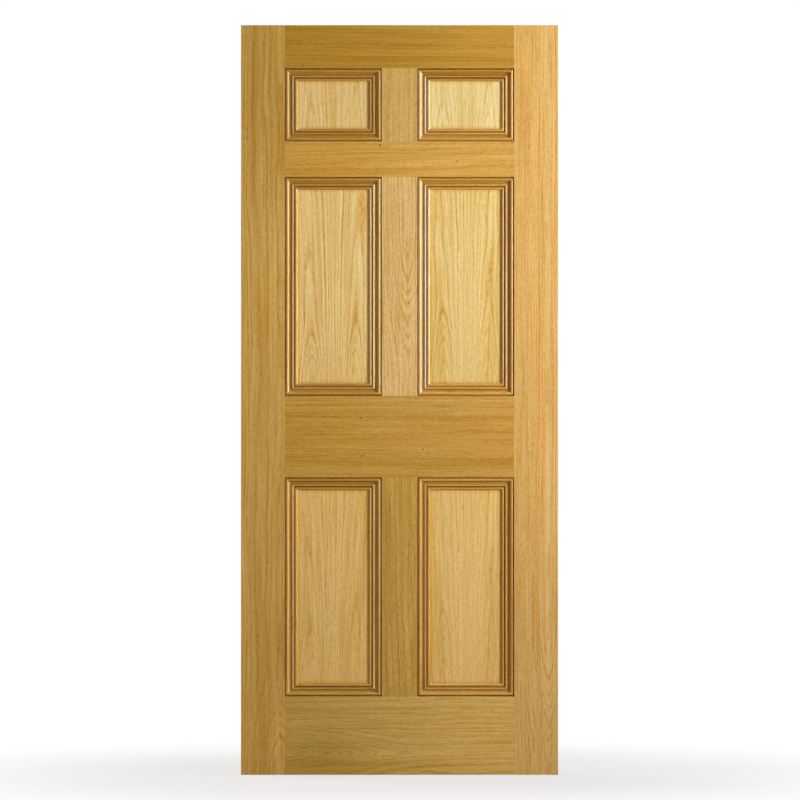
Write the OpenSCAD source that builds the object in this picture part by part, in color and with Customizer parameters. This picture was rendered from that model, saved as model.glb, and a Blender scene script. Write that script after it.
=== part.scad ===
// Six-panel interior door leaf in oak.
// Two stiles, four rails and three muntins make the frame. One groove is ploughed all round the inside
// of it, and takes the panels' edges and the stub tongues on the rails and muntins.
// Fluted dowels carry the joints, and mitred mouldings are planted round every panel on both faces.
// The leaf stands in the XZ plane with its front towards -Y and its origin at the middle of its bottom edge.

/* [Leaf] */
// Width over both stiles
leaf_w = 838; // [760:1:1000]
// Height from bottom edge to top edge
leaf_h = 1981; // [1900:1:2200]
// Thickness of the framing
leaf_t = 35; // [32:1:50]
// Radius of the eased arrises on the two long edges
arris_r = 1; // [0.5:0.25:4]

/* [Framing] */
// Width of each stile
stile_w = 116; // [95:1:140]
// Width of each muntin
muntin_w = 94; // [75:1:120]
// Width of the top rail
top_rail_w = 114; // [90:1:140]
// Width of the frieze rail, below the top panels
frieze_rail_w = 94; // [80:1:140]
// Width of the lock rail, between the tall panels
lock_rail_w = 215; // [150:1:250]
// Width of the bottom rail
bottom_rail_w = 207; // [150:1:260]
// Clear height between the top rail and the frieze rail
top_opening_h = 193; // [150:1:300]
// Clear height between the frieze rail and the lock rail
middle_opening_h = 579; // [450:1:650]

/* [Panels] */
// Thickness of the flat panels
panel_t = 12; // [9:0.5:16]
// Depth of the groove ploughed in the framing
groove_d = 12; // [8:0.5:15]
// Room left round a panel's edge for the wood to move
panel_edge_gap = 1.5; // [0.5:0.25:3]
// Play between a panel's face and the groove's wall
panel_play = 0.15; // [0.05:0.05:0.4]
// Play between a stub tongue's face and the groove's wall
tongue_play = 0.1; // [0.05:0.05:0.3]
// Room between the end of a stub tongue and the groove's floor
tongue_end_gap = 0.5; // [0.2:0.1:2]

/* [Mouldings] */
// Width of the quirk between the framing and the nose
quirk_w = 2.2; // [1:0.1:4]
// Depth of that quirk below the framing's face
quirk_d = 6; // [3:0.1:8]
// How far the crown of the nose lies below the framing's face
nose_drop = 1; // [0:0.1:3]
// Radius of the round nose
nose_r = 4.5; // [3:0.1:6]
// Width of the hollow between the nose and the fillet
hollow_w = 8.5; // [5:0.1:11]
// Radius of the hollow
hollow_r = 6.2; // [5:0.1:9]
// Depth of the hollow below the fillet
hollow_d = 3.8; // [1:0.1:5]
// Width of the flat fillet
fillet_w = 3.3; // [2:0.1:5]
// Height of the fillet above the panel
fillet_h = 7; // [6:0.1:9]
// Width of the inner quirk, between the fillet and the bead
inner_quirk_w = 3.2; // [1:0.1:4]
// Depth of the inner quirk below the fillet
inner_quirk_d = 4.3; // [2.5:0.1:5]
// Radius of the bead that runs down to the panel
bead_r = 4; // [3:0.1:6]
// Height of the bead's square edge on the panel
bead_edge = 0.8; // [0.4:0.1:1.5]

/* [Dowels] */
// Diameter of the dowels
dowel_d = 10; // [6:0.5:11]
// Length of the dowels between rails and stiles
rail_dowel_l = 110; // [60:1:140]
// Length of the dowels between muntins and rails
muntin_dowel_l = 70; // [40:1:70]
// Distance from a member's edge to its first dowel's axis
dowel_edge = 32; // [24:1:34]
// Widest spacing between dowels
dowel_pitch = 80; // [40:1:120]
// Play between a dowel and its bore, on the radius
dowel_play = 0.1; // [0.05:0.05:0.3]
// Glue room past each end of a dowel
dowel_end_gap = 2; // [1:0.5:4]
// Chamfer on a dowel's ends
dowel_chamfer = 1.5; // [0.5:0.25:2]
// Number of glue flutes round a dowel
flute_count = 8; // [6:1:12]
// Radius of a glue flute
flute_r = 0.5; // [0.3:0.1:0.8]

/* [Hidden] */
$fn = 64;
FRAME_OAK = "#c89c57";
PANEL_OAK = "#d8b573";
MOULDING_OAK = "#a9793a";
DOWEL_BEECH = "#d9b48f";

// How far a cutter runs past the face that it cuts
over = 1;

// Openings between the framing
between_stiles = leaf_w - 2 * stile_w;
opening_w = (between_stiles - muntin_w) / 2;
bottom_opening_h = leaf_h - top_rail_w - top_opening_h - frieze_rail_w - middle_opening_h
    - lock_rail_w - bottom_rail_w;
bottom_opening_z = bottom_rail_w;
lock_rail_z = bottom_opening_z + bottom_opening_h;
middle_opening_z = lock_rail_z + lock_rail_w;
frieze_rail_z = middle_opening_z + middle_opening_h;
top_opening_z = frieze_rail_z + frieze_rail_w;
top_rail_z = top_opening_z + top_opening_h;

// Groove, tongues and panels
groove_w = panel_t + 2 * panel_play;
tongue_t = groove_w - 2 * tongue_play;
tongue_l = groove_d - tongue_end_gap;
panel_lap = groove_d - panel_edge_gap;

// Moulding section: u runs from the framing inwards, v stands off the panel's face
recess = (leaf_t - panel_t) / 2;
nose_u = quirk_w + nose_r;
nose_v = recess - nose_drop - nose_r;
hollow_u0 = nose_u + nose_r;
fillet_u0 = hollow_u0 + hollow_w;
hollow_u = fillet_u0 - sqrt(pow(hollow_r, 2) - pow(hollow_r - hollow_d, 2));
hollow_v = fillet_h - hollow_d + hollow_r;
fillet_u1 = fillet_u0 + fillet_w;
inner_quirk_v = fillet_h - inner_quirk_d;
bead_u = fillet_u1 + inner_quirk_w + sqrt(pow(bead_r, 2) - pow(inner_quirk_v - bead_edge, 2));
moulding_w = bead_u + bead_r;

// Rails: name, height of the lower edge, width, whether panels stand below and above
RAILS = [
    ["top_rail", top_rail_z, top_rail_w, true, false],
    ["frieze_rail", frieze_rail_z, frieze_rail_w, true, true],
    ["lock_rail", lock_rail_z, lock_rail_w, true, true],
    ["bottom_rail", 0, bottom_rail_w, false, true]
];

// Rows of openings: name, height of the lower edge, clear height
ROWS = [
    ["top", top_opening_z, top_opening_h],
    ["middle", middle_opening_z, middle_opening_h],
    ["bottom", bottom_opening_z, bottom_opening_h]
];

// Sides of the leaf: name, direction along X
SIDES = [["left", -1], ["right", 1]];
EDGES = ["head", "foot", "stile", "muntin"];

NODES = concat(
    [for (side = SIDES) str(side[0], "_stile")],
    [for (rail = RAILS) rail[0]],
    [for (row = ROWS) str(row[0], "_muntin")],
    [for (row = ROWS, side = SIDES) panel_name(row, side)],
    [for (row = ROWS, side = SIDES, edge = EDGES) moulding_name(row, side, edge)],
    [for (rail = RAILS) str(rail[0], "_dowels")],
    [for (row = ROWS) str(row[0], "_muntin_dowels")]
);
node = "all";

function panel_name(row, side) = str(row[0], "_", side[0], "_panel");
function moulding_name(row, side, edge) = str(row[0], "_", side[0], "_", edge, "_mouldings");
function wanted(name) = node == "all" || node == name;

// Places of the dowels across a member of this width, evenly spread between its edges
function dowel_places(width) =
    let (room = width - 2 * dowel_edge, gaps = max(1, ceil(room / dowel_pitch)))
    [for (i = [0 : gaps]) dowel_edge + i * room / gaps];

// Quarter turns about the opening that carry a strip from the left edge to each edge
function edge_turn(edge, side) =
    edge == "head" ? 90
    : edge == "foot" ? 270
    : (edge == "stile") == (side[1] < 0) ? 0 : 180;

// Square corner with a round taken out of it, which eases an arris when cut away
module arris_cutter() {
    difference() {
        translate([-over, -over])
            square(arris_r + over);
        translate([arris_r, arris_r])
            circle(arris_r);
    }
}

// Fluted pin with chamfered ends, lying along Z about the origin
module dowel(length) {
    half = length / 2;
    radius = dowel_d / 2;
    intersection() {
        linear_extrude(height = length, center = true)
            difference() {
                circle(radius);
                for (i = [0 : flute_count - 1])
                    rotate(i * 360 / flute_count)
                        translate([radius, 0])
                            circle(flute_r);
            }
        rotate_extrude()
            polygon([
                [0, -half],
                [radius - dowel_chamfer, -half],
                [radius, dowel_chamfer - half],
                [radius, half - dowel_chamfer],
                [radius - dowel_chamfer, half],
                [0, half]
            ]);
    }
}

// Bore for one dowel, lying along Z about the joint's shoulder
module dowel_bore(length) {
    cylinder(r = dowel_d / 2 + dowel_play, h = length + 2 * dowel_end_gap, center = true);
}

// Puts its children at each dowel of a rail, turned along X, at both shoulders
module at_rail_dowels(rail) {
    for (side = SIDES, place = dowel_places(rail[2]))
        translate([side[1] * between_stiles / 2, 0, rail[1] + place])
            rotate([0, 90, 0])
                children();
}

// Puts its children at each dowel of a muntin, upright, at one shoulder
module at_muntin_dowels(shoulder_z) {
    for (place = dowel_places(muntin_w))
        translate([place - muntin_w / 2, 0, shoulder_z])
            children();
}

// Stile: a grooved upright with eased outer arrises, bored for the rails' dowels
module stile(side) {
    color(FRAME_OAK)
        difference() {
            linear_extrude(height = leaf_h)
                mirror([side[1] < 0 ? 1 : 0, 0])
                    stile_section();
            for (rail = RAILS)
                at_rail_dowels(rail)
                    dowel_bore(rail_dowel_l);
        }
}

module stile_section() {
    translate([between_stiles / 2, 0])
        difference() {
            translate([0, -leaf_t / 2])
                square([stile_w, leaf_t]);
            translate([-over, -groove_w / 2])
                square([groove_d + over, groove_w]);
            for (face = [0, 1])
                mirror([0, face])
                    translate([stile_w, leaf_t / 2])
                        rotate(180)
                            arris_cutter();
        }
}

// Groove along X in a rail's edge, from its floor to past its mouth
module rail_groove(floor_z) {
    length = between_stiles + 2 * (tongue_l + over);
    translate([-length / 2, -groove_w / 2, floor_z])
        cube([length, groove_w, groove_d + over]);
}

// Rail: tongued at both ends, grooved where panels meet it, bored for its own and the muntins' dowels
module rail(spec) {
    low = spec[1];
    width = spec[2];
    color(FRAME_OAK)
        difference() {
            union() {
                translate([-between_stiles / 2, -leaf_t / 2, low])
                    cube([between_stiles, leaf_t, width]);
                translate([-between_stiles / 2 - tongue_l, -tongue_t / 2, low])
                    cube([between_stiles + 2 * tongue_l, tongue_t, width]);
            }
            at_rail_dowels(spec)
                dowel_bore(rail_dowel_l);
            if (spec[3]) {
                rail_groove(low - over);
                at_muntin_dowels(low)
                    dowel_bore(muntin_dowel_l);
            }
            if (spec[4]) {
                rail_groove(low + width - groove_d);
                at_muntin_dowels(low + width)
                    dowel_bore(muntin_dowel_l);
            }
        }
}

// Muntin: tongued into the rails above and below, grooved on both edges, bored at both ends
module muntin(row) {
    low = row[1];
    height = row[2];
    tongued_h = height + 2 * tongue_l;
    color(FRAME_OAK)
        difference() {
            union() {
                translate([-muntin_w / 2, -leaf_t / 2, low])
                    cube([muntin_w, leaf_t, height]);
                translate([-muntin_w / 2, -tongue_t / 2, low - tongue_l])
                    cube([muntin_w, tongue_t, tongued_h]);
            }
            for (side = SIDES)
                translate([side[1] * (muntin_w / 2 - groove_d), 0, low - tongue_l - over])
                    mirror([side[1] < 0 ? 1 : 0, 0, 0])
                        translate([0, -groove_w / 2, 0])
                            cube([groove_d + over, groove_w, tongued_h + 2 * over]);
            for (shoulder_z = [low, low + height])
                at_muntin_dowels(shoulder_z)
                    dowel_bore(muntin_dowel_l);
        }
}

// Moves its children to the middle of one opening
module at_opening(row, side) {
    translate([side[1] * (muntin_w + opening_w) / 2, 0, row[1] + row[2] / 2])
        children();
}

// Panel: a flat board that floats in the groove
module panel(row, side) {
    color(PANEL_OAK)
        at_opening(row, side)
            cube([opening_w + 2 * panel_lap, panel_t, row[2] + 2 * panel_lap], center = true);
}

// Section of a moulding: quirk, nose, hollow, fillet, inner quirk and bead
module moulding_section() {
    square([quirk_w, recess - quirk_d]);
    translate([quirk_w, 0])
        square([2 * nose_r, nose_v]);
    translate([nose_u, nose_v])
        circle(nose_r);
    difference() {
        translate([hollow_u0, 0])
            square([fillet_u1 - hollow_u0, fillet_h]);
        translate([hollow_u, hollow_v])
            circle(hollow_r);
    }
    translate([fillet_u1, 0])
        square([bead_u - fillet_u1, inner_quirk_v]);
    translate([bead_u - bead_r, 0])
        square([2 * bead_r, bead_edge]);
    intersection() {
        translate([bead_u, bead_edge])
            circle(bead_r);
        translate([bead_u - bead_r, 0])
            square([2 * bead_r, bead_edge + bead_r]);
    }
}

// Strip of moulding along Z about the origin, mitred at both ends, its longer edge at u = 0
module strip(length) {
    half = length / 2;
    intersection() {
        linear_extrude(height = length, center = true)
            moulding_section();
        translate([0, recess + over, 0])
            rotate([90, 0, 0])
                linear_extrude(height = recess + 2 * over)
                    polygon([
                        [0, -half],
                        [moulding_w, moulding_w - half],
                        [moulding_w, half - moulding_w],
                        [0, half]
                    ]);
    }
}

// Mouldings of one edge of a panel: the back strip and the front strip
module mouldings(row, side, edge) {
    upright = edge == "stile" || edge == "muntin";
    length = upright ? row[2] : opening_w;
    reach = (upright ? opening_w : row[2]) / 2;
    color(MOULDING_OAK)
        at_opening(row, side)
            rotate([0, edge_turn(edge, side), 0])
                for (face = [0, 1])
                    mirror([0, face, 0])
                        translate([-reach, panel_t / 2, 0])
                            strip(length);
}

// Dowels of one rail, at both its ends
module rail_dowels(rail) {
    color(DOWEL_BEECH)
        at_rail_dowels(rail)
            dowel(rail_dowel_l);
}

// Dowels of one muntin, at both its ends
module muntin_dowels(row) {
    color(DOWEL_BEECH)
        for (shoulder_z = [row[1], row[1] + row[2]])
            at_muntin_dowels(shoulder_z)
                dowel(muntin_dowel_l);
}

for (side = SIDES)
    if (wanted(str(side[0], "_stile"))) stile(side);
for (rail = RAILS) {
    if (wanted(rail[0])) rail(rail);
    if (wanted(str(rail[0], "_dowels"))) rail_dowels(rail);
}
for (row = ROWS) {
    if (wanted(str(row[0], "_muntin"))) muntin(row);
    if (wanted(str(row[0], "_muntin_dowels"))) muntin_dowels(row);
}
for (row = ROWS, side = SIDES) {
    if (wanted(panel_name(row, side))) panel(row, side);
    for (edge = EDGES)
        if (wanted(moulding_name(row, side, edge))) mouldings(row, side, edge);
}
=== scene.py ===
# %% [markdown]
# A six-panel oak door leaf, dressed in Blender over a fixed model.
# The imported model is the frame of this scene: its boards, panels and dowels are already at their
# true size and place, so nothing here moves them. They only get a finish. The mouldings round the
# panels are the one thing made again, because their small curves deserve a finer mesh.

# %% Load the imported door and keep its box
import bpy
import math
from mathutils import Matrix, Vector


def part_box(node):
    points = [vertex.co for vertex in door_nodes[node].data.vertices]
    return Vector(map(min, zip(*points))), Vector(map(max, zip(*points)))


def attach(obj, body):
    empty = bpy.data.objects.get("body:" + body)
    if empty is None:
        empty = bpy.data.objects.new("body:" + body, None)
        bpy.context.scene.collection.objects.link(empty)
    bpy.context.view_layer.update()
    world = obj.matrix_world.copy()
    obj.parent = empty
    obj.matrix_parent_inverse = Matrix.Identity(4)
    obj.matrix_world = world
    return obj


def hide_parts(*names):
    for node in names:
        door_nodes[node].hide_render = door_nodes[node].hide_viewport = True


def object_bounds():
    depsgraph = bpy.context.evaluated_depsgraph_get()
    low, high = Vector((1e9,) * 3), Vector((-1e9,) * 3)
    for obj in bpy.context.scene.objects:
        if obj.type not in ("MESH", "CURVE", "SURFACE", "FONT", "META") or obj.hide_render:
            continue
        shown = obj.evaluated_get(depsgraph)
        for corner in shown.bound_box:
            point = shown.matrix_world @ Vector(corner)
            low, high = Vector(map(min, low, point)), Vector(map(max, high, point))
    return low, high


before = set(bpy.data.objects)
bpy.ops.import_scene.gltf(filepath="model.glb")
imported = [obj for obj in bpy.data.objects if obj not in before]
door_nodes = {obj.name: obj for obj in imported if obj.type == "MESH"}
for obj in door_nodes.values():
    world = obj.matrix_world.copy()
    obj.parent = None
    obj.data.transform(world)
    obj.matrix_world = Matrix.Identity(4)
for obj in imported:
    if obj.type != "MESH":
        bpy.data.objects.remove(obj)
cad_low, cad_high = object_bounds()
print("the leaf is", [round(high - low, 4) for low, high in zip(cad_low, cad_high)], "m")

# %% Read the sizes that the rest is placed by
front_face = cad_low.y
leaf_height = cad_high.z
leaf_middle = leaf_height / 2
panel_front, panel_back = (corner.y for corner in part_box("middle_left_panel"))
recess = panel_front - front_face
print("front face at", round(front_face, 4), "m, panels set back", round(recess * 1000, 2), "mm")


# %% [markdown]
# The camera looks straight at the middle of the leaf from far off through a long lens, as a catalogue
# picture of a door is taken. A long lens keeps the sides upright and hides the thickness of the edges.
# The distance follows from how wide a view the picture takes in at the front face of the leaf.

# %% Place the camera
quarter_turn = math.radians(90)
view_width = 2.114
lens_mm = 200.0
sensor_mm = 36.0
camera_offset = 0.0012
sight_limit = 100.0
camera_distance = view_width * lens_mm / sensor_mm
bpy.ops.object.select_all(action="DESELECT")
bpy.ops.object.camera_add(
    location=(camera_offset, front_face - camera_distance, leaf_middle),
    rotation=(quarter_turn, 0.0, 0.0),
)
camera = bpy.context.object
camera.name = "long_lens_camera"
camera.data.lens = lens_mm
camera.data.sensor_width = sensor_mm
camera.data.clip_end = sight_limit
bpy.context.scene.camera = camera
print("camera", round(camera_distance, 2), "m from the leaf")


# %% [markdown]
# Colours are easier to think of as the 0 to 255 numbers of a paint program, but shaders add and
# multiply light, so they want linear values. One small helper turns the first into the second.
# The helpers after it only save typing: they add a node, feed its inputs and hand back its output.
# A stain, here and below, is a colour that multiplies what lies under it, as a real stain does. The same
# helper also lays the painted shade and the painted highlights further down.

# %% Turn paint colours into linear light
# The numbers of the curve are those of the sRGB standard.
def linear(red, green, blue):
    channels = []
    for value in (red, green, blue):
        share = value / 255
        channels.append(share / 12.92 if share <= 0.04045 else ((share + 0.055) / 1.055) ** 2.4)
    return (*channels, 1.0)


print("a mid oak is", [round(value, 3) for value in linear(200, 155, 85)[:3]], "in linear light")


# %% Add a node and feed it
def feed(tree, value, socket):
    if isinstance(value, bpy.types.NodeSocket):
        tree.links.new(value, socket)
    else:
        socket.default_value = value


def maths(tree, operation, *values, clamp=False):
    step = tree.nodes.new("ShaderNodeMath")
    step.operation = operation
    step.use_clamp = clamp
    for value, socket in zip(values, step.inputs):
        feed(tree, value, socket)
    return step.outputs["Value"]


def vector_maths(tree, operation, *values):
    step = tree.nodes.new("ShaderNodeVectorMath")
    step.operation = operation
    for value, socket in zip(values, step.inputs):
        feed(tree, value, socket)
    return step.outputs["Value"] if operation == "LENGTH" else step.outputs["Vector"]


def ease(tree, value, start, end, low=0.0, high=1.0):
    step = tree.nodes.new("ShaderNodeMapRange")
    step.interpolation_type = "SMOOTHSTEP"
    for name, number in (("From Min", start), ("From Max", end), ("To Min", low), ("To Max", high)):
        feed(tree, number, step.inputs[name])
    feed(tree, value, step.inputs["Value"])
    return step.outputs["Result"]


print("node helpers ready")


# %% Mix and stain colours
# A Mix node set to colour has its amount at input 0, its colours at 6 and 7, its answer at output 2.
def mix_colours(tree, blend, amount, first, second):
    mix = tree.nodes.new("ShaderNodeMix")
    mix.data_type = "RGBA"
    mix.blend_type = blend
    feed(tree, amount, mix.inputs[0])
    feed(tree, first, mix.inputs[6])
    feed(tree, second, mix.inputs[7])
    return mix.outputs[2]


def stain(tree, amount, colour, tint):
    return mix_colours(tree, "MULTIPLY", amount, colour, tint)


print("colour helpers ready")


# %% [markdown]
# The leaf stands on a plain pale floor in front of nothing. Near the leaf the floor is part matt paint,
# which takes the shadow, and part plain white seen by the camera. Further off it turns to pure white, and
# so does the world behind, so floor and background meet without a line. Light Path does this: rays
# from the camera see white, while the rays that light the leaf see the softer real thing.

# %% Lay the floor
floor_size = 40.0
floor_gap = 0.0005
bpy.ops.object.select_all(action="DESELECT")
bpy.ops.mesh.primitive_plane_add(size=floor_size, location=(0.0, 0.0, -floor_gap))
floor = bpy.context.object
floor.name = "studio_floor"
print("floor", floor_size, "m square")


# %% Paint the floor
def seen_directly(tree):
    rays = tree.nodes.new("ShaderNodeLightPath").outputs
    seen = maths(tree, "MAXIMUM", rays["Is Camera Ray"], rays["Is Glossy Ray"])
    return maths(tree, "MAXIMUM", seen, rays["Is Transmission Ray"])


shadow_reach = (0.35, 1.3)
shadow_oval = (0.8, 1.0, 0.0)
white_near_leaf = 0.7
pure_white = (1.0, 1.0, 1.0, 1.0)
floor_grey = linear(178, 177, 174)
floor_paint = bpy.data.materials.new("pale_floor_paint")
floor_paint.use_nodes = True
tree = floor_paint.node_tree
tree.nodes.clear()
spot = tree.nodes.new("ShaderNodeTexCoord").outputs["Object"]
away = vector_maths(tree, "LENGTH", vector_maths(tree, "MULTIPLY", spot, shadow_oval))
whiteness = maths(tree, "MULTIPLY", seen_directly(tree), ease(tree, away, *shadow_reach, white_near_leaf))
matt = tree.nodes.new("ShaderNodeBsdfDiffuse")
matt.inputs["Color"].default_value = floor_grey
white = tree.nodes.new("ShaderNodeEmission")
white.inputs["Color"].default_value = pure_white
white.inputs["Strength"].default_value = 1.0
blend = tree.nodes.new("ShaderNodeMixShader")
for value, socket in zip((whiteness, matt.outputs["BSDF"], white.outputs["Emission"]), blend.inputs):
    feed(tree, value, socket)
surface = tree.nodes.new("ShaderNodeOutputMaterial")
feed(tree, blend.outputs["Shader"], surface.inputs["Surface"])
floor.data.materials.append(floor_paint)
print("shadow kept within", shadow_reach[1], "m")

# %% Light the world softly
room_light = 0.08
warm_room = (1.0, 0.90, 0.72, 1.0)
world = bpy.data.worlds.new("white_studio")
bpy.context.scene.world = world
world.use_nodes = True
tree = world.node_tree
tree.nodes.clear()
seen = seen_directly(tree)
sky = tree.nodes.new("ShaderNodeBackground")
feed(tree, mix_colours(tree, "MIX", seen, warm_room, pure_white), sky.inputs["Color"])
feed(tree, ease(tree, seen, 0.0, 1.0, room_light), sky.inputs["Strength"])
surface = tree.nodes.new("ShaderNodeOutputWorld")
feed(tree, sky.outputs["Background"], surface.inputs["Surface"])
print("room light", room_light)


# %% [markdown]
# The mouldings only read if light rakes across them. The main lamp is a tall soft box far to the right
# and above the middle, thirty degrees off the plane of the leaf, so every upright edge has a bright side
# and a dark side. A lower angle would draw them harder still, but it would burn out the leaf's own edge,
# which that lamp strikes almost square. A big weak box in front fills the shadows. The back has the same
# pair, turned half round, and a small box overhead keeps the top edge from going black.

# %% Make a soft box
lamp_spread = math.radians(110)


def soft_box(name, place, aim, width, height, watts):
    bpy.ops.object.select_all(action="DESELECT")
    bpy.ops.object.light_add(type="AREA", location=place)
    lamp = bpy.context.object
    lamp.name = name
    lamp.data.shape = "RECTANGLE"
    lamp.data.size = width
    lamp.data.size_y = height
    lamp.data.energy = watts
    lamp.data.spread = lamp_spread
    direction = lamp.location - Vector(aim)
    lamp.rotation_euler = direction.to_track_quat("Z", "Y").to_euler()


def turned_round(place):
    x, y, z = place
    return (-x, -y, z)


print("soft box ready")

# %% Hang the lamps
rake_place = (2.91, -1.70, 1.55)
rake_aim = (0.0, front_face, 1.75)
rake = {"width": 0.95, "height": 1.2, "watts": 62.0}
fill_place = (-0.9, -4.2, 2.6)
fill_aim = (0.0, 0.0, 1.2)
fill = {"width": 2.4, "height": 2.0, "watts": 13.0}
overhead_place = (0.0, 0.0, 4.4)
overhead_aim = (0.0, 0.0, leaf_height)
overhead = {"width": 0.9, "height": 0.5, "watts": 12.0}
soft_box("raking_box", rake_place, rake_aim, **rake)
soft_box("front_fill_box", fill_place, fill_aim, **fill)
soft_box("back_rake_box", turned_round(rake_place), turned_round(rake_aim), **rake)
soft_box("back_fill_box", turned_round(fill_place), turned_round(fill_aim), **fill)
soft_box("top_box", overhead_place, overhead_aim, **overhead)


# %% [markdown]
# Oak is a solid pattern, not a printed sheet. A trunk is a stack of tapering cones, one a year, and a
# board is a cut through them: straight lines where it was cut across the rings, tall arches where it
# was cut along them. So the shader measures how far each point lies from the heart of the tree, adds a
# little for the taper, and draws a dark open-pored line at the start of every ring. Because it works on
# points in space, the end grain and the edges match the face by themselves.
# Noise stretched along the grain gives what lies between those lines: broad bands and streaks, thin lines
# far longer than they are wide, very short fibres, and pores. Nothing of middle length is drawn, because
# dashes make wood look brushed. It is all one node group, so every board can share it and only say where
# its own tree stood, how wide the rings were and what tone it has.

# %% Open the oak group
oak = bpy.data.node_groups.new("oak_timber", "ShaderNodeTree")
for name, kind in (
    ("Place", "NodeSocketVector"),
    ("Ring width", "NodeSocketFloat"),
    ("Climb", "NodeSocketFloat"),
    ("Wander", "NodeSocketFloat"),
    ("Figure", "NodeSocketFloat"),
    ("Fleck", "NodeSocketFloat"),
    ("Tone", "NodeSocketColor"),
):
    oak.interface.new_socket(name=name, in_out="INPUT", socket_type=kind)
for name, kind in (
    ("Colour", "NodeSocketColor"),
    ("Roughness", "NodeSocketFloat"),
    ("Height", "NodeSocketFloat"),
):
    oak.interface.new_socket(name=name, in_out="OUTPUT", socket_type=kind)
given = oak.nodes.new("NodeGroupInput").outputs
result = oak.nodes.new("NodeGroupOutput").inputs
print("oak group takes", [socket.name for socket in given if socket.name])


# %% Let the grain wander
# Across and along say how many features noise has to the metre, across the grain and along it.
def grain_noise(tree, place, across, along, detail):
    stretched = vector_maths(tree, "MULTIPLY", place, (across, across, along))
    noise = tree.nodes.new("ShaderNodeTexNoise")
    noise.inputs["Scale"].default_value = 1.0
    noise.inputs["Detail"].default_value = detail
    feed(tree, stretched, noise.inputs["Vector"])
    return noise.outputs


def sway(tree, place, across, along, reach):
    noise = grain_noise(tree, place, across, along, detail=2.0)
    centred = vector_maths(tree, "SUBTRACT", noise["Color"], (0.5, 0.5, 0.5))
    step = tree.nodes.new("ShaderNodeVectorMath")
    step.operation = "SCALE"
    feed(tree, centred, step.inputs["Vector"])
    feed(tree, reach, step.inputs["Scale"])
    return step.outputs["Vector"]


# Waves to the metre across the grain and along it, then their share of the board's wander.
waves = {
    "long": (8.0, 1.6, 4.0),
    "middling": (34.0, 9.0, 0.9),
    "short": (80.0, 30.0, 0.12),
}
swayed = given["Place"]
for across, along, share in waves.values():
    reach = maths(oak, "MULTIPLY", given["Wander"], share)
    swayed = vector_maths(oak, "ADD", swayed, sway(oak, given["Place"], across, along, reach))
print("the grain sways in waves:", ", ".join(waves))

# %% Count the rings
across_grain = (1.0, 1.0, 0.0)
year_swing = 2.2
from_heart = vector_maths(oak, "LENGTH", vector_maths(oak, "MULTIPLY", swayed, across_grain))
even_years = maths(oak, "DIVIDE", maths(oak, "ADD", from_heart, given["Climb"]), given["Ring width"])
good_years = oak.nodes.new("ShaderNodeTexNoise")
good_years.noise_dimensions = "1D"
good_years.inputs["Scale"].default_value = 0.4
good_years.inputs["Detail"].default_value = 1.0
feed(oak, even_years, good_years.inputs["W"])
years = maths(oak, "MULTIPLY_ADD", good_years.outputs["Fac"], year_swing, even_years)
season = maths(oak, "FRACT", years)
year_dice = oak.nodes.new("ShaderNodeTexWhiteNoise")
year_dice.noise_dimensions = "1D"
feed(oak, maths(oak, "FLOOR", years), year_dice.inputs["W"])
print("rings are counted from the heart, some years wider than others")

# %% Draw bands, streaks, lines, fibres and pores
band = grain_noise(oak, swayed, across=30.0, along=1.0, detail=2.0)["Fac"]
streak = grain_noise(oak, swayed, across=150.0, along=2.4, detail=2.0)["Fac"]
line = grain_noise(oak, swayed, across=430.0, along=4.0, detail=1.0)["Fac"]
fibre = grain_noise(oak, swayed, across=560.0, along=105.0, detail=0.0)["Fac"]
patch = grain_noise(oak, swayed, across=70.0, along=8.0, detail=2.0)["Fac"]
pinhole = grain_noise(oak, swayed, across=900.0, along=40.0, detail=1.0)["Fac"]
print("six layers of grain ready")

# %% Draw the ring lines and their pores
spring_grows = (0.0, 0.10)
spring_fades = (0.14, 0.50)
summer_grows = (0.50, 0.75)
summer_fades = (0.80, 1.0)
faintest_year = 0.25
stray_pores = 0.25


def come_and_go(tree, value, grows, fades):
    return maths(tree, "MULTIPLY", ease(tree, value, *grows), ease(tree, value, *fades, 1.0, 0.0))


spring = come_and_go(oak, season, spring_grows, spring_fades)
summer = come_and_go(oak, season, summer_grows, summer_fades)
patches = ease(oak, patch, start=0.32, end=0.58, low=0.4)
breaks = ease(oak, fibre, start=0.34, end=0.56, low=0.6)
ring_strength = maths(oak, "MULTIPLY_ADD", year_dice.outputs["Value"], 1 - faintest_year, faintest_year)
ring_strength = maths(oak, "MULTIPLY", ring_strength, maths(oak, "MULTIPLY", patches, breaks))
ring_line = maths(oak, "MULTIPLY", spring, ring_strength)
pale_line = maths(oak, "MULTIPLY", summer, ring_strength)
pore_crowd = maths(oak, "MULTIPLY_ADD", spring, 1 - stray_pores, stray_pores)
pore = maths(oak, "MULTIPLY", ease(oak, pinhole, start=0.52, end=0.70), pore_crowd)
print("each ring has a dark line with open pores and a pale line after it")

# %% Stain the oak layer by layer
noise_middle = 0.5
noise_swing = 0.24


def two_way(tree, colour, noise, amount, dark, light):
    above = ease(tree, noise, noise_middle, noise_middle + noise_swing)
    below = ease(tree, noise, noise_middle - noise_swing, noise_middle, 1.0, 0.0)
    darker = maths(tree, "MULTIPLY", above, amount, clamp=True)
    lighter = maths(tree, "MULTIPLY", below, amount, clamp=True)
    return stain(tree, lighter, stain(tree, darker, colour, dark), light)


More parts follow.
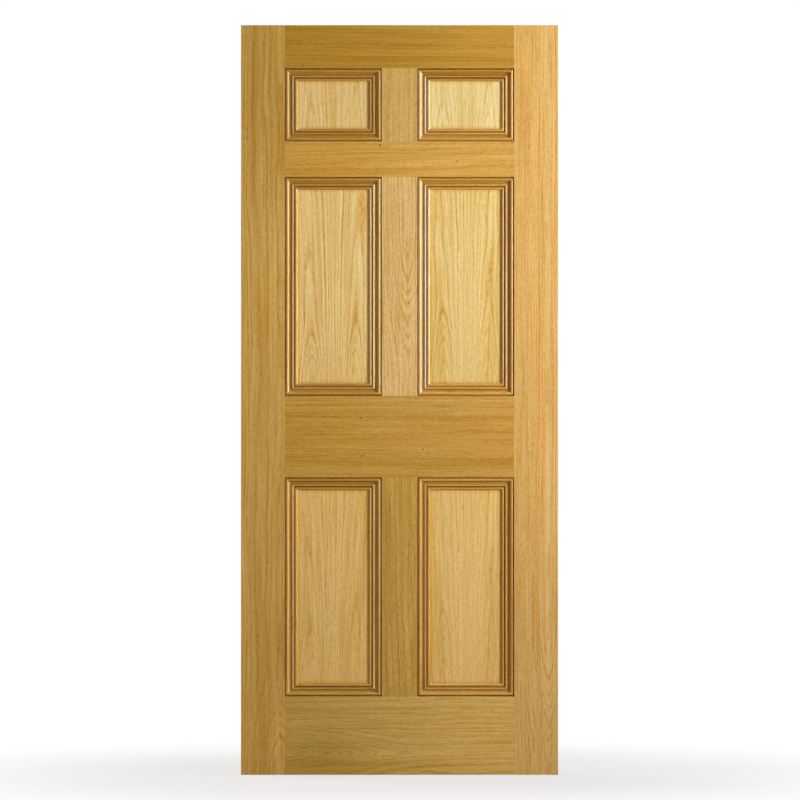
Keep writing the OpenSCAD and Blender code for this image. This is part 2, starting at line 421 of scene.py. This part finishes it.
grain_brown = (0.82, 0.58, 0.22, 1.0)
pore_brown = (0.70, 0.51, 0.24, 1.0)
honey = (0.87, 0.77, 0.50, 1.0)
olive = (0.78, 0.66, 0.38, 1.0)
cream = (1.08, 1.12, 1.28, 1.0)
pale_wood = (1.12, 1.17, 1.36, 1.0)
band_amount = 0.7
pore_amount = 0.6
dark_rings = maths(oak, "MULTIPLY", ring_line, given["Figure"], clamp=True)
pale_rings = maths(oak, "MULTIPLY", pale_line, given["Figure"], clamp=True)
colour = stain(oak, dark_rings, given["Tone"], grain_brown)
colour = stain(oak, pale_rings, colour, pale_wood)
colour = two_way(oak, colour, band, band_amount, honey, cream)
for layer, share, dark, light in (
    (streak, 0.75, honey, cream),
    (line, 0.75, olive, pale_wood),
    (fibre, 0.55, olive, pale_wood),
):
    amount = maths(oak, "MULTIPLY", given["Fleck"], share)
    colour = two_way(oak, colour, layer, amount, dark, light)
colour = stain(oak, maths(oak, "MULTIPLY", pore, pore_amount), colour, pore_brown)
feed(oak, colour, result["Colour"])
print("rings, bands, streaks, lines, fibres and pores stained")

# %% Give the oak its gloss and its height
smooth_wood = 0.38
fibre_roughness = 0.10
pore_roughness = 0.18
fibre_height = 0.35
ring_depth = 0.35
pore_depth = 0.65
roughness = maths(oak, "MULTIPLY_ADD", fibre, fibre_roughness, smooth_wood)
feed(oak, maths(oak, "MULTIPLY_ADD", pore, pore_roughness, roughness), result["Roughness"])
dip = maths(oak, "MULTIPLY_ADD", ring_line, ring_depth, maths(oak, "MULTIPLY", pore, pore_depth))
feed(oak, maths(oak, "SUBTRACT", maths(oak, "MULTIPLY", fibre, fibre_height), dip), result["Height"])
print("oak group has", len(oak.nodes), "nodes")


# %% [markdown]
# A board's material says how the board was cut. Mapping turns the pattern so that its long axis lies
# along the board, upright for stiles and muntins and level for rails, and shifts it so that the heart
# of the tree lies where that board's figure wants it: far to the side for straight grain, a little
# behind the face for arches. Arches point the way the rings climb, and only some stretch of a board has
# them, so each board says where along its length the rings begin to climb, where they stop, and how
# far they climb. Far from the heart they don't climb at all. The lacquer is thin, so a low bump and a
# satin sheen are enough, and it is slightly amber, so the sheen is too. Pin knots and soft patches of
# colour are laid over a finished board as spots, each with a place, a size and a tint. On the rails,
# the spots that darken the left ends and pale the right ends are painted shade and painted light.

# %% Lacquer a piece of oak
amber = (1.0, 0.80, 0.48, 1.0)
board_sheen = 0.12
relief_height = 0.00012
relief_strength = 0.5


def oak_shader(tree, place, climb, tone, ring, wander, figure, fleck):
    timber = tree.nodes.new("ShaderNodeGroup")
    timber.node_tree = oak
    for name, value in (
        ("Place", place),
        ("Ring width", ring),
        ("Climb", climb),
        ("Wander", wander),
        ("Figure", figure),
        ("Fleck", fleck),
        ("Tone", tone),
    ):
        feed(tree, value, timber.inputs[name])
    lacquer = tree.nodes["Principled BSDF"]
    lacquer.inputs["Specular IOR Level"].default_value = board_sheen
    lacquer.inputs["Specular Tint"].default_value = amber
    feed(tree, timber.outputs["Colour"], lacquer.inputs["Base Color"])
    feed(tree, timber.outputs["Roughness"], lacquer.inputs["Roughness"])
    relief = tree.nodes.new("ShaderNodeBump")
    relief.inputs["Strength"].default_value = relief_strength
    relief.inputs["Distance"].default_value = relief_height
    feed(tree, timber.outputs["Height"], relief.inputs["Height"])
    feed(tree, relief.outputs["Normal"], lacquer.inputs["Normal"])
    return timber


print("lacquer ready")

# %% Cut a board from its tree
upright = 0.0
level = 90.0
arch_reach = 0.12


def board_oak(name, turn, heart, arches, tone, ring, wander, figure, fleck):
    material = bpy.data.materials.new(name)
    material.use_nodes = True
    tree = material.node_tree
    spot = tree.nodes.new("ShaderNodeTexCoord").outputs["Object"]
    lay = tree.nodes.new("ShaderNodeMapping")
    lay.inputs["Rotation"].default_value = (0.0, math.radians(turn), 0.0)
    lay.inputs["Location"].default_value = heart
    feed(tree, spot, lay.inputs["Vector"])
    split = tree.nodes.new("ShaderNodeSeparateXYZ")
    feed(tree, spot, split.inputs["Vector"])
    along = split.outputs["X" if turn > (upright + level) / 2 else "Z"]
    begin, point, rise = arches
    aside = vector_maths(tree, "MULTIPLY", lay.outputs["Vector"], across_grain)
    near_heart = ease(tree, vector_maths(tree, "LENGTH", aside), 0.0, arch_reach, 1.0, 0.0)
    climb = maths(tree, "MULTIPLY", ease(tree, along, begin, point, 0.0, rise), near_heart)
    oak_shader(tree, lay.outputs["Vector"], climb, linear(*tone), ring, wander, figure, fleck)
    return material


print("arches stay within", arch_reach, "m of the heart")

# %% Lay spots over a board and dress a node
solid_share = 0.2


def mark_spots(material, marks):
    tree = material.node_tree
    place = tree.nodes.new("ShaderNodeTexCoord").outputs["Object"]
    lacquer = tree.nodes["Principled BSDF"]
    for x, z, wide, tall, tint in marks:
        offset = vector_maths(tree, "SUBTRACT", place, (x, 0.0, z))
        sized = vector_maths(tree, "MULTIPLY", offset, (1 / wide, 0.0, 1 / tall))
        away = vector_maths(tree, "LENGTH", sized)
        timber = lacquer.inputs["Base Color"].links[0].from_socket
        marked = stain(tree, ease(tree, away, solid_share, 1.0, 1.0, 0.0), timber, tint)
        feed(tree, marked, lacquer.inputs["Base Color"])


def dress(node, material):
    thing = door_nodes[node]
    thing.data.materials.clear()
    thing.data.materials.append(material)


print("a spot is solid over", solid_share, "of its reach")

# %% Choose how each board was cut
# Turn in degrees, place of the heart, arches (begin, stop, climb), tone, then ring width, wander,
# figure and fleck.
boards = {
    "left_stile": (
        upright, (0.314, 0.004, 3.1), (-0.02, 0.28, 0.054), (203, 162, 85),
        0.0066, 0.0062, 0.65, 0.78,
    ),
    "right_stile": (
        upright, (-0.392, 0.002, 0.7), (0.42, 0.0, 0.040), (211, 170, 101),
        0.0052, 0.0048, 0.65, 0.75,
    ),
    "top_rail": (
        level - 0.6, (-1.75, 0.10, 5.3), (-0.3, 0.3, 0.006), (176, 135, 53),
        0.0056, 0.0045, 0.55, 0.65,
    ),
    "frieze_rail": (
        level + 0.8, (-1.45, 0.14, 7.9), (-0.3, 0.3, 0.006), (200, 157, 78),
        0.0056, 0.0040, 0.60, 0.70,
    ),
    "lock_rail": (
        level - 0.5, (-1.15, 0.06, 2.4), (-0.3, 0.3, 0.006), (193, 151, 73),
        0.0060, 0.0045, 0.50, 0.80,
    ),
    "bottom_rail": (
        level, (-0.060, 0.006, 1.2), (-0.40, 0.06, 0.052), (202, 165, 87),
        0.0058, 0.0072, 0.75, 0.70,
    ),
    "top_muntin": (
        upright - 1.0, (0.22, 0.10, 4.7), (1.6, 1.9, 0.006), (199, 164, 93),
        0.0052, 0.0045, 0.50, 0.85,
    ),
    "middle_muntin": (
        upright, (-0.018, 0.004, 9.4), (1.45, 1.05, 0.040), (215, 178, 114),
        0.0052, 0.0055, 0.80, 0.80,
    ),
    "bottom_muntin": (
        upright + 1.2, (0.26, 0.02, 6.6), (0.2, 0.8, 0.006), (193, 155, 77),
        0.0056, 0.0045, 0.60, 1.00,
    ),
}
print("cuts chosen for", len(boards), "boards")

# %% Place the knots, the soft patches of colour, and painted shade and light at the rail ends
# Place across and up the leaf, half the width, half the height, tint.
knot_brown = (0.40, 0.30, 0.20, 1.0)
blush = (1.05, 0.97, 0.96, 1.0)
# Also the painted shade at the left end of the bottom rail.
shade = (0.90, 0.86, 0.76, 1.0)
dull = (0.85, 0.83, 0.71, 1.0)
# Also the painted light at the right ends of the top and bottom rails.
paler = (1.10, 1.11, 1.16, 1.0)
# Painted shade for the left ends of the rails.
painted_end_shade = (0.98, 0.96, 0.78, 1.0)
olive_heart = (0.91, 0.93, 0.82, 1.0)
spots = {
    "left_stile": (
        (-0.370, 1.85, 0.110, 0.55, dull),
        (-0.335, 1.30, 0.020, 0.30, paler),
        (-0.325, 0.10, 0.030, 0.16, paler),
    ),
    "right_stile": (
        (0.371, 0.94, 0.026, 0.55, blush),
        (0.334, 1.90, 0.022, 0.12, paler),
    ),
    "top_rail": (
        # Painted shade at the left end.
        (-0.24, 1.92, 0.28, 0.40, painted_end_shade),
        # Painted light at the right end.
        (0.26, 1.92, 0.28, 0.40, paler),
        (-0.255, 1.877, 0.0028, 0.0028, knot_brown),
    ),
    "frieze_rail": (
        # Painted shade at the left end.
        (-0.20, 1.63, 0.26, 0.30, painted_end_shade),
        (0.08, 1.597, 0.28, 0.045, paler),
        (-0.052, 1.664, 0.0042, 0.0036, knot_brown),
        (0.152, 1.622, 0.0032, 0.0028, knot_brown),
    ),
    "lock_rail": (
        (-0.102, 0.943, 0.0042, 0.0036, knot_brown),
        (-0.099, 0.843, 0.0048, 0.0040, knot_brown),
        (0.062, 0.861, 0.0042, 0.0036, knot_brown),
        (0.270, 0.905, 0.160, 0.130, blush),
        # Painted shade at the left end.
        (-0.24, 0.89, 0.28, 0.40, painted_end_shade),
        (0.0, 0.905, 0.26, 0.022, paler),
    ),
    "bottom_rail": (
        # Painted shade at the left end.
        (-0.26, 0.10, 0.30, 0.40, shade),
        (-0.22, 0.065, 0.13, 0.060, olive_heart),
        # Painted light at the right end.
        (0.26, 0.10, 0.30, 0.40, paler),
    ),
    "bottom_muntin": (
        (0.015, 0.34, 0.020, 0.20, paler),
        (-0.030, 0.55, 0.022, 0.30, shade),
    ),
}
print(sum(map(len, spots.values())), "knots and soft patches of colour")

# %% Finish the stiles, rails and muntins
for node, cut in boards.items():
    timber = board_oak(node + "_oak", *cut)
    mark_spots(timber, spots.get(node, ()))
    dress(node, timber)
print(len(boards), "boards dressed")


# %% [markdown]
# The panels are veneered, and each is a book-match: two neighbouring leaves of veneer opened like a
# book, so the right half mirrors the left about the panel's centre line. Taking the absolute value of
# the sideways coordinate does that, and a small step in depth between the halves, one slice of the
# knife, keeps them from being perfect mirrors. The lines fan out towards the head, so the sideways
# coordinate shrinks with height. The rings climb most near the foot and only beside the centre line: that
# closes them into pointed arches there, while the lines along the middle and above run on up. Where a
# panel meets its mouldings the colour deepens over the last few millimetres: this is painted shade.

# %% Open a leaf of veneer like a book
heart_aside = 0.050
heart_depth = 0.010
slice_step = 0.0015
fan = 0.8
squeeze = 1.15


def opened_veneer(tree, spot, log):
    opened = maths(tree, "ABSOLUTE", spot["X"])
    spread = maths(tree, "MULTIPLY_ADD", spot["Z"], fan, 1.0)
    from_tree = maths(tree, "SUBTRACT", maths(tree, "DIVIDE", opened, spread), heart_aside)
    next_slice = maths(tree, "MULTIPLY", maths(tree, "SIGN", spot["X"]), slice_step)
    depth = maths(tree, "SUBTRACT", spot["Y"], heart_depth)
    leaf = tree.nodes.new("ShaderNodeCombineXYZ")
    feed(tree, maths(tree, "MULTIPLY", from_tree, squeeze), leaf.inputs["X"])
    feed(tree, maths(tree, "ADD", depth, next_slice), leaf.inputs["Y"])
    feed(tree, maths(tree, "ADD", spot["Z"], log), leaf.inputs["Z"])
    return opened, leaf.outputs["Vector"]


print("veneer cut", heart_aside, "m beside the heart")

# %% Raise the arches and paint the shade beside the mouldings
arch_zone = (-0.10, 0.27)
arch_climb = (-0.034, 0.0)
taper = 0.03
tallest = 0.6
# How far the painted shade beside the mouldings reaches into the panel.
edge_shade_reach = 0.010


def veneer_climb(tree, spot, opened):
    rising = ease(tree, spot["Z"], *arch_zone, *arch_climb)
    below_top = maths(tree, "SUBTRACT", spot["Z"], tallest)
    rising = maths(tree, "MULTIPLY_ADD", below_top, taper, rising)
    return maths(tree, "MULTIPLY", rising, ease(tree, opened, 0.0, heart_aside))


# Painted shade where a panel meets its mouldings, deepest at the edge.
def shade_beside_mouldings(tree, spot, opened, field):
    half_width, field_foot, field_head = field
    by_side = ease(tree, opened, half_width - edge_shade_reach, half_width)
    by_foot = ease(tree, spot["Z"], field_foot, field_foot + edge_shade_reach, 1.0, 0.0)
    by_head = ease(tree, spot["Z"], field_head - edge_shade_reach, field_head)
    return maths(tree, "MAXIMUM", by_side, maths(tree, "MAXIMUM", by_foot, by_head))


print("stain gathers over", edge_shade_reach * 1000, "mm")

# %% Make one panel's veneer
veneer_ring = 0.0075
veneer_wander = 0.0060
veneer_fleck = 0.6
# Tint of the painted shade beside the mouldings.
edge_shade_tint = (0.90, 0.81, 0.58, 1.0)


def panel_oak(name, centre, foot, field, log, tone, figure):
    material = bpy.data.materials.new(name)
    material.use_nodes = True
    tree = material.node_tree
    centring = tree.nodes.new("ShaderNodeMapping")
    centring.inputs["Location"].default_value = (-centre, 0.0, -foot)
    feed(tree, tree.nodes.new("ShaderNodeTexCoord").outputs["Object"], centring.inputs["Vector"])
    split = tree.nodes.new("ShaderNodeSeparateXYZ")
    feed(tree, centring.outputs["Vector"], split.inputs["Vector"])
    spot = split.outputs
    opened, place = opened_veneer(tree, spot, log)
    climb = veneer_climb(tree, spot, opened)
    timber = oak_shader(
        tree, place, climb, linear(*tone), veneer_ring, veneer_wander, figure, veneer_fleck
    )
    # Painted shade over the last few millimetres beside the mouldings.
    edge_shade = shade_beside_mouldings(tree, spot, opened, field)
    edged = stain(tree, edge_shade, timber.outputs["Colour"], edge_shade_tint)
    feed(tree, edged, tree.nodes["Principled BSDF"].inputs["Base Color"])
    return material


print("veneer rings", veneer_ring * 1000, "mm wide")

# %% Finish the panels
# How far the figure is moved down, where along the log the leaf was cut, tone, figure.
panels = {
    "top_left_panel": (0.15, 3.4, (223, 192, 128), 0.55),
    "top_right_panel": (0.13, 4.1, (225, 201, 139), 0.45),
    "middle_left_panel": (0.03, 6.35, (227, 195, 127), 1.0),
    "middle_right_panel": (0.0, 0.03, (221, 191, 121), 0.92),
    "bottom_left_panel": (0.05, 8.15, (224, 185, 110), 0.5),
    "bottom_right_panel": (0.0, 0.03, (226, 188, 114), 0.47),
}
for node, (lowered, log, tone, figure) in panels.items():
    low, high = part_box(node)
    centre = (low.x + high.x) / 2
    foot = low.z - lowered
    opening = node.removesuffix("_panel")
    half_width = min(abs(corner.x - centre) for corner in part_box(opening + "_stile_mouldings"))
    field_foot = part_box(opening + "_foot_mouldings")[1].z - foot
    field_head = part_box(opening + "_head_mouldings")[0].z - foot
    field = (half_width, field_foot, field_head)
    dress(node, panel_oak(node + "_veneer", centre, foot, field, log, tone, figure))
print(len(panels), "panels dressed")


# %% [markdown]
# The mouldings are lengths of one planed section, mitred at the corners and planted round each panel.
# From the framing inward the section is a narrow quirk, a round nose, a hollow, a small flat fillet,
# a second quirk and a bead that dies onto the panel. A joiner would plane it on a long stick and saw
# it to length, and so do we: draw the section as a chain of vertices with extrude for the straight
# parts and spin for the round ones, fill it, and extrude it into a stick. The sizes are the packed
# model's own, so the finer strips lie exactly where the plain ones do.

# %% Set out the moulding's section
quirk_width = 0.0022
quirk_floor = 0.0055
nose_radius = 0.0045
nose_drop = 0.0010
hollow_radius = 0.0062
hollow_middle = (0.01398, 0.0094)
fillet_from = 0.0197
fillet_to = 0.0230
fillet_top = 0.0070
inner_quirk_to = 0.0262
inner_quirk_floor = 0.0027
bead_radius = 0.0040
bead_edge = 0.0008
nose_middle = (quirk_width + nose_radius, recess - nose_drop - nose_radius)
nose_to = quirk_width + 2 * nose_radius
hollow_start = hollow_middle[1] - math.sqrt(hollow_radius ** 2 - (nose_to - hollow_middle[0]) ** 2)
bead_reach = math.sqrt(bead_radius ** 2 - (inner_quirk_floor - bead_edge) ** 2)
bead_middle = (inner_quirk_to + bead_reach, bead_edge)
moulding_width = bead_middle[0] + bead_radius
print("section", round(moulding_width * 1000, 2), "mm wide")

# %% Take up a pencil
pencil_point = 0.001
bpy.ops.object.select_all(action="DESELECT")
bpy.ops.mesh.primitive_plane_add(size=pencil_point, location=(0.0, 0.0, 0.0))
stick = bpy.context.object
stick.name = "moulding_stick"
bpy.ops.object.mode_set(mode="EDIT")
bpy.ops.mesh.merge(type="CENTER")
pencil = [0.0, 0.0]


def line_to(across, off):
    move = (across - pencil[0], off - pencil[1], 0.0)
    bpy.ops.mesh.extrude_region_move(TRANSFORM_OT_translate={"value": move})
    pencil[:] = [across, off]


def arc_to(across, off, middle, facets, over):
    begin = math.atan2(pencil[1] - middle[1], pencil[0] - middle[0])
    end = math.atan2(off - middle[1], across - middle[0])
    turn = (begin - end) % (2 * math.pi) if over else -((end - begin) % (2 * math.pi))
    bpy.ops.mesh.spin(steps=facets, angle=turn, center=(*middle, 0.0), axis=(0.0, 0.0, 1.0))
    pencil[:] = [across, off]


print("pencil at", pencil)

# %% Draw the section and fill it
nose_facets = 20
hollow_facets = 12
bead_facets = 16
touching = 0.00001
line_to(0.0, quirk_floor)
line_to(quirk_width, quirk_floor)
line_to(quirk_width, nose_middle[1])
arc_to(nose_to, nose_middle[1], nose_middle, nose_facets, over=True)
line_to(nose_to, hollow_start)
arc_to(fillet_from, fillet_top, hollow_middle, hollow_facets, over=False)
line_to(fillet_to, fillet_top)
line_to(fillet_to, inner_quirk_floor)
line_to(inner_quirk_to, inner_quirk_floor)
arc_to(moulding_width, bead_edge, bead_middle, bead_facets, over=True)
line_to(moulding_width, 0.0)
line_to(0.0, 0.0)
bpy.ops.mesh.select_all(action="SELECT")
bpy.ops.mesh.remove_doubles(threshold=touching)
bpy.ops.mesh.edge_face_add()
bpy.ops.object.mode_set(mode="OBJECT")
print("section drawn with", len(stick.data.vertices), "points")

# %% Ease the fillet's corners, as a sanding block does
corner_ease = 0.0003


def select_points(thing, wanted):
    bpy.ops.object.mode_set(mode="EDIT")
    bpy.ops.mesh.select_mode(type="VERT")
    bpy.ops.mesh.select_all(action="DESELECT")
    bpy.ops.object.mode_set(mode="OBJECT")
    for point in thing.data.vertices:
        point.select = wanted(point.co)
    bpy.ops.object.mode_set(mode="EDIT")


def on_fillet_corner(point):
    on_top = abs(point.y - fillet_top) < touching
    return on_top and min(abs(point.x - fillet_from), abs(point.x - fillet_to)) < touching


select_points(stick, on_fillet_corner)
bpy.ops.mesh.bevel(affect="VERTICES", offset=corner_ease, segments=2)
bpy.ops.object.mode_set(mode="OBJECT")
print("section now has", len(stick.data.vertices), "points")

# %% Extrude the section into a long stick
spare_length = 0.04
openings = {}
for row in ("top", "middle", "bottom"):
    for side in ("left", "right"):
        head_low, head_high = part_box(f"{row}_{side}_head_mouldings")
        foot_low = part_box(f"{row}_{side}_foot_mouldings")[0]
        openings[row, side] = (head_low.x, head_high.x, foot_low.z, head_high.z)
longest = max(max(x1 - x0, z1 - z0) for x0, x1, z0, z1 in openings.values())
stick_length = longest + spare_length
bpy.ops.object.mode_set(mode="EDIT")
bpy.ops.mesh.select_all(action="SELECT")
bpy.ops.transform.translate(value=(0.0, 0.0, -stick_length / 2))
bpy.ops.mesh.extrude_region_move(TRANSFORM_OT_translate={"value": (0.0, 0.0, stick_length)})
bpy.ops.object.mode_set(mode="OBJECT")
print("stick", round(stick_length, 3), "m long")


# %% [markdown]
# Polish and dust settle in the narrow quirks of any moulding and darken them, and painted shade darkens
# them further, and the hollow too. The raised parts are paled as a painted highlight. Two numbers stored
# on each point of the section say how much is darkened, full in the two quirks and some in the hollow,
# and how much is paled, full on the fillet and some on the crests. The finish reads them later. Stored on
# the stick, they are copied to every length.

# %% Mark the settled polish with painted shade, and the painted highlight
# The share of painted shade in the hollow.
hollow_shade = 0.32
# The share of painted highlight on the crests.
crest_highlight = 0.4
hair = 0.00002
hollow_margin = 0.001
fillet_margin = 0.0005
fillet_depth = 0.0004
nose_crest = nose_middle[1] + 0.5 * nose_radius
bead_crest = bead_middle[1] + 0.6 * bead_radius
# Two marks per point: settled polish with painted shade, and painted highlight.
for name in ("settled_and_shade", "painted_highlight"):
    stick.data.attributes.new(name, "FLOAT", "POINT")
settled_and_shade = stick.data.attributes["settled_and_shade"].data
painted_highlight = stick.data.attributes["painted_highlight"].data
for point, settled_shade, highlight_share in zip(stick.data.vertices, settled_and_shade, painted_highlight):
    across, off = point.co.x, point.co.y
    in_quirk = across < quirk_width + hair and off < nose_middle[1] + hair
    in_inner_quirk = fillet_to - hair < across < inner_quirk_to + hair and off < inner_quirk_floor + hair
    in_hollow = nose_to - hair < across < fillet_from - hollow_margin and off < fillet_top
    # Settled polish with painted shade in the quirks, painted shade alone in the hollow.
    settled_shade.value = 1.0 if in_quirk or in_inner_quirk else hollow_shade if in_hollow else 0.0
    on_fillet = fillet_from - fillet_margin < across < fillet_to + hair and off > fillet_top - fillet_depth
    on_nose = across < nose_to and off > nose_crest
    on_bead = across > inner_quirk_to and off > bead_crest
    # Painted highlight, full on the fillet and partial on the crests of the nose and the bead.
    highlight_share.value = 1.0 if on_fillet else crest_highlight if on_nose or on_bead else 0.0
print("finish settles on", sum(mark.value > 0 for mark in settled_and_shade), "points of the stick")
print("and is rubbed off", sum(mark.value > 0 for mark in painted_highlight))


# %% [markdown]
# The same oak as the boards, a shade browner because narrow strips take more stain. There are eleven
# sticks, pale to dark: eight with the grain upright for the sides and three with it level for heads and
# feet. The darker ones go mostly on the heads and the right-hand sides, so part of their tone is painted
# shade. Each says how much painted highlight and how much settled polish with painted shade it shows.
# Handling has polished the mouldings more than the boards, so they are glossier.

# %% Finish a stick of moulding
# Brown of the settled polish and painted shade; pale cream of the painted highlight.
settled_shade_brown = (0.35, 0.20, 0.12, 1.0)
painted_highlight_cream = (1.50, 1.80, 4.20, 1.0)
faint_arches = (0.0, 1.0, 0.006)
stick_ring = 0.0045
stick_wander = 0.003
stick_figure = 0.8
stick_fleck = 0.9
moulding_sheen = 0.4
handling_gloss = 0.12


# Tints the colour by a mark stored on the points, used for painted shade and painted highlight.
def tint_by_mark(tree, colour, mark_name, share, tint):
    mark = tree.nodes.new("ShaderNodeAttribute")
    mark.attribute_name = mark_name
    return stain(tree, maths(tree, "MULTIPLY", mark.outputs["Fac"], share), colour, tint)


def moulding_oak(name, turn, heart, tone, highlight_share, settling_and_shade):
    grain = (stick_ring, stick_wander, stick_figure, stick_fleck)
    material = board_oak(name, turn, heart, faint_arches, tone, *grain)
    tree = material.node_tree
    lacquer = tree.nodes["Principled BSDF"]
    lacquer.inputs["Specular IOR Level"].default_value = moulding_sheen
    roughness = lacquer.inputs["Roughness"].links[0].from_socket
    feed(tree, maths(tree, "SUBTRACT", roughness, handling_gloss), lacquer.inputs["Roughness"])
    colour = lacquer.inputs["Base Color"].links[0].from_socket
    # Settled polish with painted shade, then the painted highlight.
    colour = tint_by_mark(tree, colour, "settled_and_shade", settling_and_shade, settled_shade_brown)
    colour = tint_by_mark(tree, colour, "painted_highlight", highlight_share, painted_highlight_cream)
    feed(tree, colour, lacquer.inputs["Base Color"])
    return material


print("moulding finish ready")

# %% Finish the eleven sticks
# Turn in degrees, place of the heart, tone, then shares of painted highlight and of settled polish with
# painted shade.
sticks = {
    "pale": (upright, (0.31, 0.05, 3.7), (202, 171, 101), 1.0, 1.0),
    "warm": (upright, (0.36, 0.05, 5.1), (196, 157, 76), 1.0, 1.0),
    "tawny": (upright, (0.34, 0.05, 6.9), (181, 143, 68), 0.9, 1.0),
    "russet": (upright, (0.30, 0.05, 9.2), (186, 138, 58), 0.9, 1.0),
    "brown": (upright, (0.27, 0.05, 2.2), (173, 126, 53), 0.9, 1.0),
    "honey": (upright, (0.33, 0.05, 8.6), (206, 163, 80), 0.35, 0.75),
    "plain": (upright, (0.38, 0.05, 7.4), (198, 154, 73), 0.35, 0.85),
    "chestnut": (upright, (0.29, 0.05, 4.4), (182, 134, 53), 0.35, 0.85),
    "dark": (level, (0.31, 0.05, 3.7), (171, 126, 39), 0.3, 1.0),
    "amber": (level, (0.41, 0.05, 6.3), (184, 141, 55), 0.3, 0.9),
    "golden": (level, (0.47, 0.05, 1.7), (197, 151, 67), 0.3, 0.75),
}
stock = {name: moulding_oak(name + "_moulding_oak", *finish) for name, finish in sticks.items()}
print(len(stock), "sticks finished")


# %% [markdown]
# Four lengths make the border round one side of a panel, and they meet in mitres, as the corners of a
# picture frame do. Each length is a copy of the stick. Bisect saws both its ends at 45 degrees, throws
# the waste away and fills the cut. Then it is turned, set on its edge of the opening, and its place is
# applied to its mesh, so that the grain stays put. The back of the leaf gets the same strips, flipped.

# %% Saw a mitred length
weld = 0.000005
smooth_below = math.radians(30)


def saw_length(name, length):
    bpy.ops.object.select_all(action="DESELECT")
    stick.select_set(True)
    bpy.context.view_layer.objects.active = stick
    bpy.ops.object.duplicate()
    piece = bpy.context.object
    piece.name = name
    bpy.ops.object.mode_set(mode="EDIT")
    for end in (1.0, -1.0):
        bpy.ops.mesh.select_all(action="SELECT")
        bpy.ops.mesh.bisect(
            plane_co=(0.0, 0.0, end * length / 2),
            plane_no=(1.0, 0.0, end),
            use_fill=True,
            clear_outer=True,
        )
    bpy.ops.mesh.select_all(action="SELECT")
    bpy.ops.mesh.remove_doubles(threshold=weld)
    bpy.ops.mesh.normals_make_consistent(inside=False)
    bpy.ops.object.mode_set(mode="OBJECT")
    bpy.ops.object.shade_smooth_by_angle(angle=smooth_below)
    return piece


print("saw ready")

# %% Choose a stick for every edge
# The darker sticks go mostly on the heads and the right-hand sides: part of their tone is painted shade.
chosen = {
    ("top", "left"): {"stile": "tawny", "muntin": "chestnut", "head": "dark", "foot": "dark"},
    ("top", "right"): {"stile": "russet", "muntin": "pale", "head": "dark", "foot": "amber"},
    ("middle", "left"): {"stile": "warm", "muntin": "warm", "head": "dark", "foot": "amber"},
    ("middle", "right"): {"stile": "brown", "muntin": "pale", "head": "amber", "foot": "golden"},
    ("bottom", "left"): {"stile": "honey", "muntin": "plain", "head": "dark", "foot": "amber"},
    ("bottom", "right"): {"stile": "chestnut", "muntin": "plain", "head": "amber", "foot": "golden"},
}
print("sticks chosen for", len(chosen), "openings")

# %% Plant the strips round every panel, front and back
half_turn = 2 * quarter_turn
faces = {"front": (half_turn, panel_front), "back": (0.0, panel_back)}
planted = []
for (row, side), (x0, x1, z0, z1) in openings.items():
    middle_x = (x0 + x1) / 2
    middle_z = (z0 + z1) / 2
    left_name, right_name = ("stile", "muntin") if side == "left" else ("muntin", "stile")
    edges = {
        left_name: (x0, middle_z, 0.0, z1 - z0),
        right_name: (x1, middle_z, half_turn, z1 - z0),
        "head": (middle_x, z1, quarter_turn, x1 - x0),
        "foot": (middle_x, z0, -quarter_turn, x1 - x0),
    }
    for edge, (place_x, place_z, turn, length) in edges.items():
        for face, (flip, panel_y) in faces.items():
            strip = saw_length(f"{row}_{side}_{edge}_{face}_strip", length)
            strip.rotation_euler = (flip, turn, 0.0)
            strip.location = (place_x, panel_y, place_z)
            bpy.ops.object.transform_apply(location=True, rotation=True, scale=True)
            strip.data.materials.append(stock[chosen[row, side][edge]])
            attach(strip, "root")
            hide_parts(f"{row}_{side}_{edge}_mouldings")
            planted.append(strip)
bpy.data.objects.remove(stick)
print(len(planted), "strips of", sum(len(strip.data.polygons) for strip in planted), "faces planted")


# %% [markdown]
# Fluted beech dowels hold the joints. They are out of sight inside the leaf, but they are part of it,
# so they get beech's pale pinkish tone with the short dark flecks that tell it from oak.

# %% Finish the dowels
beech_tone = linear(226, 188, 146)
beech_grain = (0.82, 0.74, 0.66, 1.0)
beech_fleck = (0.62, 0.48, 0.38, 1.0)
beech_roughness = (0.55, 0.7)
dowel_relief = 0.0001


def beech(name, turn):
    material = bpy.data.materials.new(name)
    material.use_nodes = True
    tree = material.node_tree
    lay = tree.nodes.new("ShaderNodeMapping")
    lay.inputs["Rotation"].default_value = (0.0, math.radians(turn), 0.0)
    feed(tree, tree.nodes.new("ShaderNodeTexCoord").outputs["Object"], lay.inputs["Vector"])
    grain = grain_noise(tree, lay.outputs["Vector"], across=260.0, along=9.0, detail=3.0)["Fac"]
    fleck = grain_noise(tree, lay.outputs["Vector"], across=1100.0, along=170.0, detail=1.0)["Fac"]
    tone = stain(tree, ease(tree, grain, start=0.3, end=0.7), beech_tone, beech_grain)
    tone = stain(tree, ease(tree, fleck, start=0.6, end=0.72), tone, beech_fleck)
    wood = tree.nodes["Principled BSDF"]
    feed(tree, tone, wood.inputs["Base Color"])
    feed(tree, ease(tree, grain, 0.2, 0.8, *beech_roughness), wood.inputs["Roughness"])
    relief = tree.nodes.new("ShaderNodeBump")
    relief.inputs["Distance"].default_value = dowel_relief
    feed(tree, grain, relief.inputs["Height"])
    feed(tree, relief.outputs["Normal"], wood.inputs["Normal"])
    return material


level_beech = beech("level_dowel_beech", level)
upright_beech = beech("upright_dowel_beech", upright)
dowels = [node for node in door_nodes if node.endswith("_dowels")]
for node in dowels:
    dress(node, level_beech if "rail" in node else upright_beech)
print(len(dowels), "groups of dowels dressed")


# %% Set the view transform
bpy.context.scene.view_settings.view_transform = "Standard"
